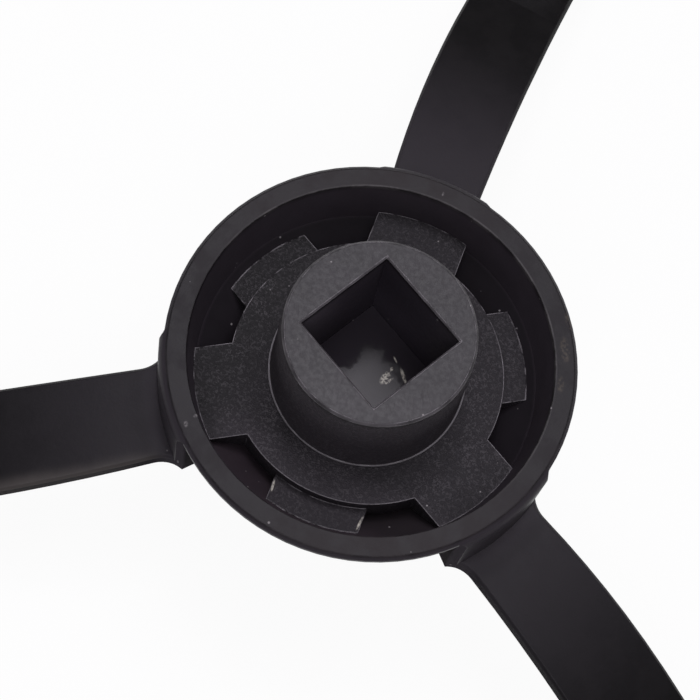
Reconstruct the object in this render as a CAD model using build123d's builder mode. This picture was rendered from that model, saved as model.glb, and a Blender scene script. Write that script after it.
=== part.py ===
from build123d import *
from math import cos, radians, sin, tan
import os

# Side brush of a robot vacuum cleaner: a rigid drive core sits in a soft moulding of a bowl and three arms,
# and each arm holds a tuft of bristles at its tip.
# Millimetres and degrees. The origin is the middle of the drive socket's mouth, on the boss's top face.
# +Z points out of the socket and +X lies along one arm. A drop is measured down from the boss's top face.

# Bowl of the soft moulding
hub_diameter = 34.0
rim_width = 1.9
rim_drop = 5.9
rim_bevel = 0.3
rim_land = 0.7
bowl_drop = 12.7
bowl_draft = 10.5
bevel_rise = 2.4
bevel_run = 2.95
floor_wall = 1.6
shell_draft = 22.0
shell_corner = 4.0

# Drive core
boss_diameter = 15.6
boss_draft = 2.0
boss_edge = 0.2
disc_diameter = 22.9
disc_drop = 9.6
lobe_width = 8.0
low_lobe_step = 1.25
socket_size = 8.9
socket_depth = 10.8
socket_lead = 0.15

# Arms of the soft moulding
arm_count = 3
arm_drop = 12.0
arm_thickness = 1.4
arm_root_width = 7.9
arm_root_shift = 0.24
flare_reach = 1.4
flare_radius = 2.6
flare_sweep = 55.0
riser_proud = 0.35
shoulder_round = 1.0
arm_middle_width = 8.8
arm_middle_shift = 0.04
arm_middle_reach = 17.0
arm_tip_width = 8.05
arm_tip_shift = -2.3
arm_tip_reach = 37.0
arm_root_dip = 4.6
arm_tip_dip = 15.0
arm_edge_bevel = 0.25

# Holder at the tip of an arm
holder_lip = 0.325
holder_length = 7.0
holder_blend = 5.5
holder_round = 1.2
holder_yaw = -9.0
pocket_thickness = 2.0
pocket_side_wall = 1.05
pocket_cheek = 0.6
pocket_depth = 5.5
pocket_round = 0.8

# Tuft of bristles
butt_clearance = 0.05
butt_recess = 0.2
bunch_rows = 2
bunches_in_row = 9
bunch_diameter = 0.62
bunch_taper = 0.25
row_pitch = 0.9
bristle_length = 22.5
fan_angle = 9.0
row_splay = 1.5
trim_arch = 1.5

# Levels and radii that follow
hub_radius = hub_diameter / 2
bowl_radius = hub_radius - rim_width
z_rim = -rim_drop
z_disc = -disc_drop
z_low_lobe = z_disc - low_lobe_step
z_bowl = -bowl_drop
z_base = z_bowl - floor_wall
z_arm = -arm_drop
z_land = z_rim - rim_land
bowl_foot = bowl_radius - (z_rim - z_bowl) * tan(radians(bowl_draft))
bevel_top = bowl_foot + bevel_rise * tan(radians(bowl_draft))
shell_foot = hub_radius - (z_land - z_base) * tan(radians(shell_draft))
boss_radius = boss_diameter / 2
boss_foot = boss_radius + (disc_drop - boss_edge) * tan(radians(boss_draft))

# The holder is a little wider than the arm's tip, and its walls leave the pocket.
holder_width = arm_tip_width + 2 * holder_lip
holder_thickness = pocket_thickness + 2 * pocket_cheek
pocket_width = holder_width - 2 * pocket_side_wall

# The arm's top line falls along an arc and then straight; the tip's frame has X across and Z along the arm.
root_x = hub_radius + flare_reach
root_run = hub_radius - bowl_foot
bend_radius = arm_middle_reach / (sin(radians(arm_tip_dip)) - sin(radians(arm_root_dip)))
bend_fall = bend_radius * (cos(radians(arm_root_dip)) - cos(radians(arm_tip_dip)))
straight_reach = arm_tip_reach - arm_middle_reach
tip_x = hub_radius + arm_tip_reach
tip_z = z_arm - bend_fall - straight_reach * tan(radians(arm_tip_dip))
along = Vector(cos(radians(arm_tip_dip)), 0, -sin(radians(arm_tip_dip)))
across = Vector(0, 1, 0)
up = Vector(sin(radians(arm_tip_dip)), 0, cos(radians(arm_tip_dip)))
tip_along = along * cos(radians(holder_yaw)) + across * sin(radians(holder_yaw))
tip_across = across * cos(radians(holder_yaw)) - along * sin(radians(holder_yaw))
tip_middle = Vector(tip_x, arm_tip_shift, tip_z) - up * (arm_thickness / 2)
tip_plane = Plane(origin=tip_middle, x_dir=tip_across, z_dir=tip_along)


def bowl_hollow():
    """Half the section of the bowl's hollow, from the axis to the drafted wall."""
    with BuildSketch(Plane.XZ) as hollow:
        with BuildLine():
            Polyline((0, z_bowl), (bevel_top - bevel_run, z_bowl), (bevel_top, z_bowl + bevel_rise),
                     (bowl_radius, z_rim), (0, z_rim), (0, z_bowl))
        make_face()
    return hollow.sketch


def arm_outline():
    """The arm seen from above: two gently bowed edges, which flare into the bowl's wall."""
    middle_x = hub_radius + arm_middle_reach
    root = (arm_root_shift - arm_root_width / 2, arm_root_shift + arm_root_width / 2)
    middle = (arm_middle_shift - arm_middle_width / 2, arm_middle_shift + arm_middle_width / 2)
    tip = (arm_tip_shift - arm_tip_width / 2, arm_tip_shift + arm_tip_width / 2)
    end_x = tip_x - holder_length / 2
    with BuildSketch() as outline:
        with BuildLine():
            right = ThreePointArc((root_x, root[0]), (middle_x, middle[0]), (tip_x, tip[0]))
            left = ThreePointArc((root_x, root[1]), (middle_x, middle[1]), (tip_x, tip[1]))
            right_flare = JernArc(right @ 0, -(right % 0), flare_radius, flare_sweep)
            left_flare = JernArc(left @ 0, -(left % 0), flare_radius, -flare_sweep)
            right_root = Line(right_flare @ 1, (right_flare @ 1).normalized() * bowl_foot)
            left_root = Line(left_flare @ 1, (left_flare @ 1).normalized() * bowl_foot)
            Line(right_root @ 1, left_root @ 1)
            Line(right @ 1, left @ 1)
        make_face()
        with Locations((end_x, arm_tip_shift)):
            Rectangle(holder_length, hub_diameter, align=(Align.MIN, Align.CENTER), mode=Mode.SUBTRACT)
    return outline.sketch


# Riser from an arm up to the rim, a little proud of the hub, with a rounded shoulder
with BuildPart() as riser:
    with BuildSketch(Plane.XY.offset(z_arm - arm_thickness)):
        add(arm_outline())
        Circle(hub_radius + riser_proud, mode=Mode.INTERSECT)
    extrude(amount=z_rim - z_arm + arm_thickness)
    fillet(riser.edges().group_by(Axis.Z)[-1].sort_by(Axis.X)[-1], shoulder_round)

# One arm: a drooping ribbon cut to its outline, its riser, and the holder with its pocket
with BuildPart() as arm:
    with BuildSketch(Plane.XZ):
        with BuildLine():
            root_rise = root_run * tan(radians(arm_root_dip))
            root_line = Line((bowl_foot, z_arm + root_rise), (hub_radius, z_arm))
            bend = JernArc(root_line @ 1, root_line % 1, bend_radius, arm_root_dip - arm_tip_dip)
            Line(bend @ 1, (tip_x, tip_z))
            offset(amount=arm_thickness, side=Side.RIGHT)
        make_face()
    extrude(amount=hub_diameter, both=True)
    extrude(arm_outline(), amount=hub_diameter, both=True, mode=Mode.INTERSECT)
    top_faces = arm.faces().filter_by(lambda face: face.normal_at().Z > 0.5)
    chamfer(top_faces.edges().filter_by(lambda edge: abs(edge.tangent_at(0.5).X) > 0.5), arm_edge_bevel)
    add(riser.part)
    with BuildSketch(tip_plane.offset(-holder_length - holder_blend)):
        Rectangle(arm_tip_width, arm_thickness)
    with BuildSketch(tip_plane.offset(-holder_length)):
        RectangleRounded(holder_width, holder_thickness, holder_round)
    loft()
    with BuildSketch(tip_plane):
        RectangleRounded(holder_width, holder_thickness, holder_round)
    extrude(amount=-holder_length)
    with BuildSketch(tip_plane):
        RectangleRounded(pocket_width, pocket_thickness, pocket_round)
    extrude(amount=-pocket_depth, mode=Mode.SUBTRACT)

# Soft moulding: the bowl and its arms in one piece
with BuildPart() as soft_spider:
    with BuildSketch(Plane.XZ):
        with BuildLine():
            FilletPolyline((0, z_base), (shell_foot, z_base), (hub_radius, z_land), radius=shell_corner)
            Polyline((hub_radius, z_land), (hub_radius, z_rim - rim_bevel), (hub_radius - rim_bevel, z_rim),
                     (0, z_rim), (0, z_base))
        make_face()
    revolve()
    with PolarLocations(0, arm_count):
        add(arm.part)
    revolve(bowl_hollow(), mode=Mode.SUBTRACT)
soft_spider.part.label = "soft_spider"

# Rigid core: a disc with raised and low lobes that fill out the bowl, and the boss with its square socket
with BuildPart() as drive_core:
    with BuildSketch(Plane.XY.offset(z_bowl)):
        Circle(disc_diameter / 2)
        with PolarLocations(0, arm_count):
            Rectangle(hub_radius, lobe_width, align=(Align.MIN, Align.CENTER))
    extrude(amount=z_disc - z_bowl)
    with BuildSketch(Plane.XY.offset(z_bowl)):
        with PolarLocations(0, arm_count, start_angle=180 / arm_count):
            Rectangle(hub_radius, lobe_width, align=(Align.MIN, Align.CENTER))
    extrude(amount=z_low_lobe - z_bowl)
    revolve(bowl_hollow(), mode=Mode.INTERSECT)
    with BuildSketch(Plane.XZ):
        with BuildLine():
            Polyline((boss_foot, z_disc), (boss_radius, -boss_edge), (boss_radius - boss_edge, 0), (0, 0),
                     (0, z_disc), (boss_foot, z_disc))
        make_face()
    revolve()
    with BuildSketch(Plane.XY):
        Rectangle(socket_size, socket_size)
    extrude(amount=-socket_depth, mode=Mode.SUBTRACT)
    mouth = drive_core.faces().sort_by(Axis.Z)[-1].inner_wires()[0]
    chamfer(mouth.edges(), socket_lead)
drive_core.part.label = "drive_core"

# One tuft: a fused butt in the holder's pocket, and two rows of bristle bunches that fan out from it
butt_plane = tip_plane.offset(-butt_recess)
butt_width = pocket_width - 2 * butt_clearance
butt_thickness = pocket_thickness - 2 * butt_clearance
with BuildPart() as tuft:
    with BuildSketch(butt_plane):
        RectangleRounded(butt_width, butt_thickness, pocket_round)
    extrude(amount=butt_recess - pocket_depth)
    fan_room = 2 * butt_recess * tan(radians(fan_angle))
    bunch_pitch = (butt_width - bunch_diameter - fan_room) / (bunches_in_row - 0.5)
    for row in range(bunch_rows):
        row_place = row - (bunch_rows - 1) / 2
        for column in range(bunches_in_row):
            column_place = column - (bunches_in_row - 1) / 2 + row_place / 2
            fan_share = 2 * column_place / bunches_in_row
            fan = radians(fan_angle * fan_share)
            splay = radians(row_splay * row_place)
            start = (butt_plane.origin + tip_across * (column_place * bunch_pitch)
                     + tip_plane.y_dir * (row_place * row_pitch))
            heading = tip_along + tip_across * tan(fan) + tip_plane.y_dir * tan(splay)
            with BuildSketch(Plane(origin=start, x_dir=tip_across, z_dir=heading)):
                RegularPolygon(bunch_diameter / 2, 6)
            extrude(amount=bristle_length - trim_arch * fan_share ** 2, taper=bunch_taper)

os.makedirs("parts", exist_ok=True)
export_step(soft_spider.part, "parts/soft_spider.step")
export_step(drive_core.part, "parts/drive_core.step")
for number in range(arm_count):
    with BuildPart() as bristle_tuft:
        add(tuft.part, rotation=(0, 0, 360 * number / arm_count))
    bristle_tuft.part.label = f"bristle_tuft_{number + 1}"
    export_step(bristle_tuft.part, f"parts/bristle_tuft_{number + 1}.step")
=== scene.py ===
"""Looks of a robot vacuum side brush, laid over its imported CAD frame. Metres, in the row frame."""

import logging
import math
import random
from dataclasses import dataclass, field
from enum import Enum

import bmesh
import bpy
from mathutils import Matrix, Vector


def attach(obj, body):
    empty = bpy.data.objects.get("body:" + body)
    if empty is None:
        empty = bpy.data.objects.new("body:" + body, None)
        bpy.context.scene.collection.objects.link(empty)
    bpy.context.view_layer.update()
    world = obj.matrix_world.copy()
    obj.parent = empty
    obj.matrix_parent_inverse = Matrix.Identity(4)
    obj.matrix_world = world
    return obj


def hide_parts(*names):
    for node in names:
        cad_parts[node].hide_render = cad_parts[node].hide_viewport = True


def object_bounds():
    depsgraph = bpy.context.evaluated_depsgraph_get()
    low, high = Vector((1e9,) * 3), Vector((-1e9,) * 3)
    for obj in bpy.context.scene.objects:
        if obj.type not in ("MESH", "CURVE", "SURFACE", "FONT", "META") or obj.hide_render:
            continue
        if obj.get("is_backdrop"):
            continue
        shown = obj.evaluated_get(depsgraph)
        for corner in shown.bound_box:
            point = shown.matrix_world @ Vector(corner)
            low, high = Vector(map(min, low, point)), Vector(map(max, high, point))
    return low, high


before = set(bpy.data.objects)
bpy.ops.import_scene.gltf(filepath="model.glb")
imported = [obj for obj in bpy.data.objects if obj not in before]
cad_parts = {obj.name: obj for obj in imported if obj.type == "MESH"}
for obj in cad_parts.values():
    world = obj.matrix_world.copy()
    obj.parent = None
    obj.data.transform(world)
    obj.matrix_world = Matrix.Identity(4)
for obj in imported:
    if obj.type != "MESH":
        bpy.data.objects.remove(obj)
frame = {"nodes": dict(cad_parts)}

LOG = logging.getLogger("side_brush")
MM = 0.001
ARM_COUNT = 3
NOISE_MEAN = 0.5
Colour = tuple[float, float, float]
Place = tuple[float, float, float]
# Two ends: what gives 0 and what gives 1, or what 0 and 1 stand for
Ends = tuple[float, float]
Socket = bpy.types.NodeSocket
Sockets = dict[str, Socket]


class Slot(Enum):
    """Material slots of the record."""

    CORE = "core_plastic"
    SOFT = "soft_moulding"
    BRISTLE = "bristle_nylon"


class Wiring:
    """Adds nodes to one node tree and joins them."""

    def __init__(self, tree: bpy.types.NodeTree) -> None:
        """Keeps the node tree of a material, a world or a group."""
        self.tree = tree

    def node(self, kind: str, **settings: object) -> bpy.types.Node:
        """Adds a node.

        Args:
            kind: Blender's name of the node's type.
            settings: Attributes of the node to set.

        Returns:
            The new node.
        """
        made = self.tree.nodes.new(kind)
        for name, value in settings.items():
            setattr(made, name, value)
        return made

    def feed(self, socket: Socket, value: object) -> None:
        """Joins a socket to another one, or sets its own value.

        Args:
            socket: Input to fill.
            value: Output socket to join, or a plain value.
        """
        if isinstance(value, Socket):
            self.tree.links.new(value, socket)
        else:
            socket.default_value = value

    def math(self, operation: str, *values: object) -> Socket:
        """Works out a number.

        Args:
            operation: Blender's name of the operation.
            values: One to three sockets or numbers.

        Returns:
            The result's socket.
        """
        made = self.node("ShaderNodeMath", operation=operation)
        for socket, value in zip(made.inputs, values):
            self.feed(socket, value)
        return made.outputs[0]

    def times(self, first: object, *others: object) -> Socket:
        """Multiplies numbers.

        Args:
            first: Socket or number.
            others: One or more sockets or numbers.

        Returns:
            The product's socket.
        """
        for other in others:
            first = self.math("MULTIPLY", first, other)
        return first

    def outside(self, mask: Socket) -> Socket:
        """What a mask leaves free."""
        return self.math("SUBTRACT", 1.0, mask)

    def apart(self, first: object, second: object) -> Socket:
        """Difference of two numbers, without its sign."""
        return self.math("ABSOLUTE", self.math("SUBTRACT", first, second))

    def vector(self, operation: str, *values: object) -> bpy.types.Node:
        """Works on vectors.

        Args:
            operation: Blender's name of the operation.
            values: One to three sockets or triples.

        Returns:
            The node, because some operations put out a vector and some a number.
        """
        made = self.node("ShaderNodeVectorMath", operation=operation)
        for socket, value in zip(made.inputs, values):
            self.feed(socket, value)
        return made

    def along(self, place: Socket, way: object) -> Socket:
        """How far a vector reaches along a direction."""
        return self.vector("DOT_PRODUCT", place, way).outputs["Value"]

    def flat(self, place: Socket) -> Socket:
        """A vector without its height."""
        return self.vector("MULTIPLY", place, (1.0, 1.0, 0.0)).outputs[0]

    def length(self, place: Socket) -> Socket:
        """Length of a vector."""
        return self.vector("LENGTH", place).outputs["Value"]

    def unit(self, place: Socket) -> Socket:
        """Direction of a vector."""
        return self.vector("NORMALIZE", place).outputs[0]

    def axes(self, place: Socket) -> bpy.types.NodeOutputs:
        """Splits a vector.

        Args:
            place: Position or direction.

        Returns:
            Its X, Y and Z by name.
        """
        made = self.node("ShaderNodeSeparateXYZ")
        self.feed(made.inputs[0], place)
        return made.outputs

    def turned(self, place: Socket, angle: Socket) -> Socket:
        """Turns a position about the vertical.

        Args:
            place: Position socket.
            angle: Turn, in radians.

        Returns:
            The turned position.
        """
        made = self.node("ShaderNodeVectorRotate", rotation_type="Z_AXIS")
        self.feed(made.inputs["Vector"], place)
        self.feed(made.inputs["Angle"], angle)
        return made.outputs[0]

    def step(self, value: object, low: float, high: float) -> Socket:
        """Rises smoothly from 0 at low to 1 at high, or falls where low is above high.

        Args:
            value: Socket to read.
            low: Value that gives 0.
            high: Value that gives 1.

        Returns:
            The mask's socket.
        """
        made = self.node("ShaderNodeMapRange", interpolation_type="SMOOTHSTEP")
        self.feed(made.inputs["Value"], value)
        if low <= high:
            ends = (low, high, 0.0, 1.0)
        else:
            ends = (high, low, 1.0, 0.0)
        for name, end in zip(("From Min", "From Max", "To Min", "To Max"), ends):
            made.inputs[name].default_value = end
        return made.outputs["Result"]

    def ramp(self, length: Socket, ends: Ends, start: float = 0.0) -> Socket:
        """Rises or falls smoothly between two lengths.

        Args:
            length: Length to read, in metres.
            ends: Lengths that give 0 and 1, in millimetres.
            start: Where the ends are counted from, in millimetres.

        Returns:
            The mask's socket.
        """
        return self.step(length, (start + ends[0]) * MM, (start + ends[1]) * MM)

    def between(self, share: object, first: object, second: object) -> Socket:
        """Goes from one number to another.

        Args:
            share: 0 for the first number and 1 for the second.
            first: Socket or number.
            second: Socket or number.

        Returns:
            The number's socket.
        """
        made = self.node("ShaderNodeMix", data_type="FLOAT")
        self.feed(made.inputs[0], share)
        self.feed(made.inputs[2], first)
        self.feed(made.inputs[3], second)
        return made.outputs[0]

    def tint(self, share: object, first: object, second: object) -> Socket:
        """Goes from one colour to another.

        Args:
            share: 0 for the first colour and 1 for the second.
            first: Socket or colour.
            second: Socket or colour.

        Returns:
            The colour's socket.
        """
        made = self.node("ShaderNodeMix", data_type="RGBA")
        self.feed(made.inputs[0], share)
        for socket, value in ((made.inputs[6], first), (made.inputs[7], second)):
            self.feed(socket, value if isinstance(value, Socket) else (*value, 1.0))
        return made.outputs[2]

    def cover(self, colour: Socket, mask: Socket, share: object, over: object) -> Socket:
        """Lays a colour over part of another.

        Args:
            colour: Colour below.
            mask: Where it is covered.
            share: How much the cover hides there.
            over: Socket or colour of the cover.

        Returns:
            The colour's socket.
        """
        return self.tint(self.times(mask, share), colour, over)

    def noise(self, place: Socket, cell: object, detail: float, harsh: float = 0.5) -> Socket:
        """Soft random values over the surface.

        Args:
            place: Position socket.
            cell: Size of a patch, in metres, as a number or a socket.
            detail: Octaves of finer noise.
            harsh: Strength of the finer noise.

        Returns:
            The value's socket, about 0.5 on average.
        """
        made = self.node("ShaderNodeTexNoise")
        self.feed(made.inputs["Vector"], place)
        self.feed(made.inputs["Scale"], self.math("DIVIDE", 1.0, cell))
        made.inputs["Detail"].default_value = detail
        made.inputs["Roughness"].default_value = harsh
        return made.outputs["Fac"]

    def stray(self, place: Socket, cell: float, width: float) -> Socket:
        """Random shift that makes a border uneven.

        Args:
            place: Position socket.
            cell: Size of a patch, in millimetres.
            width: Width that the border strays over, in millimetres.

        Returns:
            The shift's socket, about 0 on average.
        """
        patches = self.noise(place, cell * MM, detail=2.0)
        return self.times(self.math("SUBTRACT", patches, NOISE_MEAN), width * MM)


@dataclass(frozen=True)
class Cloud:
    """Soft random patches: cell in millimetres, finer noise, and the noise that gives 0 and 1."""

    cell: float
    detail: float
    harsh: float
    low: float
    high: float

    def mask(self, wiring: Wiring, place: Socket) -> Socket:
        """Lays the patches over a surface."""
        noise = wiring.noise(place, self.cell * MM, self.detail, self.harsh)
        return wiring.step(noise, self.low, self.high)


class SharedEffect:
    """A shader node group that several finishes use, built once."""

    name = "effect"
    inputs: tuple[tuple[str, str, object], ...] = ()
    outputs: tuple[tuple[str, str], ...] = ()

    def wire(self, wiring: Wiring, given: Sockets) -> Sockets:
        """Builds the inside of the group.

        Args:
            wiring: Hand for the group's tree.
            given: The group's inputs by name.

        Returns:
            The sockets to put out, by name.
        """
        raise NotImplementedError

    def tree(self) -> bpy.types.NodeTree:
        """Builds the group the first time.

        Returns:
            The group's node tree.
        """
        if self.name in bpy.data.node_groups:
            return bpy.data.node_groups[self.name]
        tree = bpy.data.node_groups.new(self.name, "ShaderNodeTree")
        for name, kind, value in self.inputs:
            socket = tree.interface.new_socket(name, in_out="INPUT", socket_type=kind)
            if value is not None:
                socket.default_value = value
        for name, kind in self.outputs:
            tree.interface.new_socket(name, in_out="OUTPUT", socket_type=kind)
        wiring = Wiring(tree)
        entry = wiring.node("NodeGroupInput")
        leave = wiring.node("NodeGroupOutput")
        made = self.wire(wiring, {name: entry.outputs[name] for name, _, _ in self.inputs})
        for name, socket in made.items():
            wiring.feed(leave.inputs[name], socket)
        return tree

    def put(self, wiring: Wiring, **values: object) -> bpy.types.NodeOutputs:
        """Places the group in a material.

        Args:
            wiring: Hand for the material's tree.
            values: Sockets or plain values of the inputs, by name.

        Returns:
            The placed group's outputs.
        """
        made = wiring.node("ShaderNodeGroup")
        made.node_tree = self.tree()
        for name, value in values.items():
            wiring.feed(made.inputs[name], value)
        return made.outputs


class MouldedGrain(SharedEffect):
    """Fine grain that a spark-eroded or polished mould leaves."""

    name = "moulded_grain"
    inputs = (("Position", "NodeSocketVector", None), ("Cell", "NodeSocketFloat", 0.3 * MM))
    outputs = (("Height", "NodeSocketFloat"), ("Fleck", "NodeSocketFloat"))
    fine_size = 0.45
    fine_share = 0.4
    fleck_ends = (0.49, 0.60)

    def wire(self, wiring: Wiring, given: Sockets) -> Sockets:
        """Puts finer pits in pits of one size, and flecks on the highest places.

        Args:
            wiring: Hand for the group's tree.
            given: The group's inputs by name.

        Returns:
            Height of the surface and mask of the flecks.
        """
        coarse = wiring.noise(given["Position"], given["Cell"], detail=3.0, harsh=0.6)
        fine_cell = wiring.times(given["Cell"], self.fine_size)
        fine = wiring.noise(given["Position"], fine_cell, detail=1.0)
        height = wiring.between(self.fine_share, coarse, fine)
        return {"Height": height, "Fleck": wiring.step(height, *self.fleck_ends)}


class DustSpecks(SharedEffect):
    """Scattered pale specks of dust."""

    name = "dust_specks"
    inputs = (
        ("Position", "NodeSocketVector", None),
        ("Spacing", "NodeSocketFloat", 1.0 * MM),
        ("Share", "NodeSocketFloat", 0.2),
        ("Size", "NodeSocketFloat", 0.08),
    )
    outputs = (("Mask", "NodeSocketFloat"),)
    smallest = 0.5
    soft_edge = 0.5

    def wire(self, wiring: Wiring, given: Sockets) -> Sockets:
        """Puts a speck of its own size in one cell out of a few.

        Args:
            wiring: Hand for the group's tree.
            given: The group's inputs by name.

        Returns:
            Mask of the specks.
        """
        cells = wiring.node("ShaderNodeTexVoronoi", feature="F1")
        wiring.feed(cells.inputs["Vector"], given["Position"])
        wiring.feed(cells.inputs["Scale"], wiring.math("DIVIDE", 1.0, given["Spacing"]))
        parts = wiring.node("ShaderNodeSeparateColor")
        wiring.feed(parts.inputs[0], cells.outputs["Color"])
        chosen = wiring.math("LESS_THAN", parts.outputs[0], given["Share"])
        growth = wiring.math("ADD", self.smallest, parts.outputs[1])
        radius = wiring.times(given["Size"], growth)
        depth = wiring.outside(wiring.math("DIVIDE", cells.outputs["Distance"], radius))
        return {"Mask": wiring.times(chosen, wiring.step(depth, 0.0, self.soft_edge))}


class FaintScratches(SharedEffect):
    """Thin straight scratches in one direction, broken off at random."""

    name = "faint_scratches"
    inputs = (
        ("Position", "NodeSocketVector", None),
        ("Turn", "NodeSocketFloat", 0.0),
        ("Spacing", "NodeSocketFloat", 0.6 * MM),
    )
    outputs = (("Mask", "NodeSocketFloat"),)
    stretch = (0.06, 1.0, 0.3)
    width = 0.012
    kept = Cloud(2.2, 1.0, 0.5, 0.50, 0.62)

    def wire(self, wiring: Wiring, given: Sockets) -> Sockets:
        """Draws the ridges of stretched noise, where a broad noise is high.

        Args:
            wiring: Hand for the group's tree.
            given: The group's inputs by name.

        Returns:
            Mask of the scratches.
        """
        turned = wiring.turned(given["Position"], given["Turn"])
        long = wiring.vector("MULTIPLY", turned, self.stretch).outputs[0]
        ridges = wiring.noise(long, given["Spacing"], detail=1.0)
        line = wiring.apart(ridges, NOISE_MEAN)
        kept = self.kept.mask(wiring, given["Position"])
        return {"Mask": wiring.times(wiring.step(line, self.width, 0.0), kept)}


class EdgeLine(SharedEffect):
    """Narrow band along the edges of a solid, where it is worn and where it gets a painted
    highlight.
    """

    name = "edge_line"
    inputs = (("Position", "NodeSocketVector", None),)
    outputs = (
        ("Mask", "NodeSocketFloat"),
        ("Whole", "NodeSocketFloat"),
        ("Normal", "NodeSocketVector"),
    )
    radius = 0.18
    samples = 8
    edge_ends = (0.992, 0.90)
    wear_and_highlight = Cloud(1.3, 4.0, 0.65, 0.40, 0.60)

    def wire(self, wiring: Wiring, given: Sockets) -> Sockets:
        """Compares the surface's direction with that of a surface with rounded edges.

        Args:
            wiring: Hand for the group's tree.
            given: The group's inputs by name.

        Returns:
            Masks of the worn and highlighted edges and of all edges, and the rounded normal.
        """
        rounded = wiring.node("ShaderNodeBevel", samples=self.samples)
        rounded.inputs["Radius"].default_value = self.radius * MM
        sharp = wiring.node("ShaderNodeNewGeometry").outputs["Normal"]
        same = wiring.along(rounded.outputs[0], sharp)
        wear_and_highlight = self.wear_and_highlight.mask(wiring, given["Position"])
        edge = wiring.step(same, *self.edge_ends)
        return {"Mask": wiring.times(edge, wear_and_highlight), "Whole": edge, "Normal": rounded.outputs[0]}


class PaintedFillLight(SharedEffect):
    """Painted fill light in the bowl and on the core: it lifts the black where shade falls there."""

    name = "painted_fill_light"
    inputs = (
        ("Position", "NodeSocketVector", None),
        ("Level", "NodeSocketFloat", -5.9 * MM),
        ("Reach", "NodeSocketFloat", 15.2 * MM),
        ("Draft", "NodeSocketFloat", 0.185),
    )
    outputs = (("Mask", "NodeSocketFloat"),)
    depth_ends = (0.0, 0.6)
    wall_ends = (0.0, 0.1)
    cell = 1.6
    thickness = (0.7, 1.0)

    def wire(self, wiring: Wiring, given: Sockets) -> Sockets:
        """Covers what lies below a level and inside a drafted wall, a little unevenly.

        Args:
            wiring: Hand for the group's tree.
            given: The group's inputs by name.

        Returns:
            Mask of the painted fill light.
        """
        place = given["Position"]
        depth = wiring.math("SUBTRACT", given["Level"], wiring.axes(place)["Z"])
        wall = wiring.math("SUBTRACT", given["Reach"], wiring.times(given["Draft"], depth))
        inside = wiring.math("SUBTRACT", wall, wiring.length(wiring.flat(place)))
        cover = wiring.times(
            wiring.ramp(depth, self.depth_ends), wiring.ramp(inside, self.wall_ends)
        )
        cloud = wiring.between(wiring.noise(place, self.cell * MM, detail=3.0), *self.thickness)
        return {"Mask": wiring.times(cover, cloud)}


class SpotMask(SharedEffect):
    """A patch about one place, broken up by the grain; scuffs, nicks and painted glints use it."""

    name = "spot_mask"
    inputs = (
        ("Position", "NodeSocketVector", None),
        ("Place", "NodeSocketVector", (0.0, 0.0, 0.0)),
        ("Reach", "NodeSocketVector", (1.0 * MM, 1.0 * MM, 1.0 * MM)),
        ("Turn", "NodeSocketFloat", 0.0),
        ("Cell", "NodeSocketFloat", 0.25 * MM),
        ("Broken", "NodeSocketFloat", 1.0),
    )
    outputs = (("Mask", "NodeSocketFloat"),)
    kept_ends = (0.38, 0.62)
    reach_ends = (1.0, 0.45)

    def wire(self, wiring: Wiring, given: Sockets) -> Sockets:
        """Fills an ellipsoid round the place, less what the noise takes away.

        Args:
            wiring: Hand for the group's tree.
            given: The group's inputs by name.

        Returns:
            Mask of the patch.
        """
        offset = wiring.vector("SUBTRACT", given["Position"], given["Place"]).outputs[0]
        turned = wiring.turned(offset, given["Turn"])
        away = wiring.length(wiring.vector("DIVIDE", turned, given["Reach"]).outputs[0])
        grain = wiring.noise(given["Position"], given["Cell"], detail=2.0)
        kept = wiring.between(given["Broken"], 1.0, wiring.step(grain, *self.kept_ends))
        return {"Mask": wiring.times(wiring.step(away, *self.reach_ends), kept)}


GRAIN = MouldedGrain()
DUST = DustSpecks()
SCRATCHES = FaintScratches()
EDGE = EdgeLine()
FILL_LIGHT = PaintedFillLight()
SPOT = SpotMask()


@dataclass(frozen=True)
class Specks:
    """How specks lie: spacing in millimetres, share of the cells that hold one, size in cells."""

    spacing: float
    share: float
    size: float

    def mask(self, wiring: Wiring, place: Socket) -> Socket:
        """Scatters the specks over a surface.

        Args:
            wiring: Hand for the material's tree.
            place: Position socket.

        Returns:
            The specks' mask.
        """
        made = DUST.put(
            wiring, Position=place, Spacing=self.spacing * MM, Share=self.share, Size=self.size
        )
        return made["Mask"]


@dataclass(frozen=True)
class Spot:
    """Where a patch is and how far it reaches, in millimetres, with its turn in degrees; scuffs,
    nicks and painted glints use it.
    """

    place: Place
    reach: Place
    turn: float = 0.0
    cell: float = 0.25
    broken: float = 1.0

    def mask(self, wiring: Wiring, position: Socket) -> Socket:
        """Places the patch in a material.

        Args:
            wiring: Hand for the material's tree.
            position: Position socket.

        Returns:
            The patch's mask.
        """
        made = SPOT.put(
            wiring,
            Position=position,
            Place=tuple(v * MM for v in self.place),
            Reach=tuple(v * MM for v in self.reach),
            Turn=math.radians(self.turn),
            Cell=self.cell * MM,
            Broken=self.broken,
        )
        return made["Mask"]


class Finish:
    """What every finish shares: a fresh material with its shader."""

    name = "finish"

    def start(self) -> tuple[bpy.types.Material, Wiring, bpy.types.Node, Socket]:
        """Makes the bare material.

        Returns:
            The material, the hand for its tree, its shader and its position socket.
        """
        material = bpy.data.materials.new(self.name)
        material.use_nodes = True
        wiring = Wiring(material.node_tree)
        shader = material.node_tree.nodes["Principled BSDF"]
        place = wiring.node("ShaderNodeTexCoord").outputs["Object"]
        return material, wiring, shader, place

    def material(self) -> bpy.types.Material:
        """Builds the material."""
        raise NotImplementedError


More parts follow.
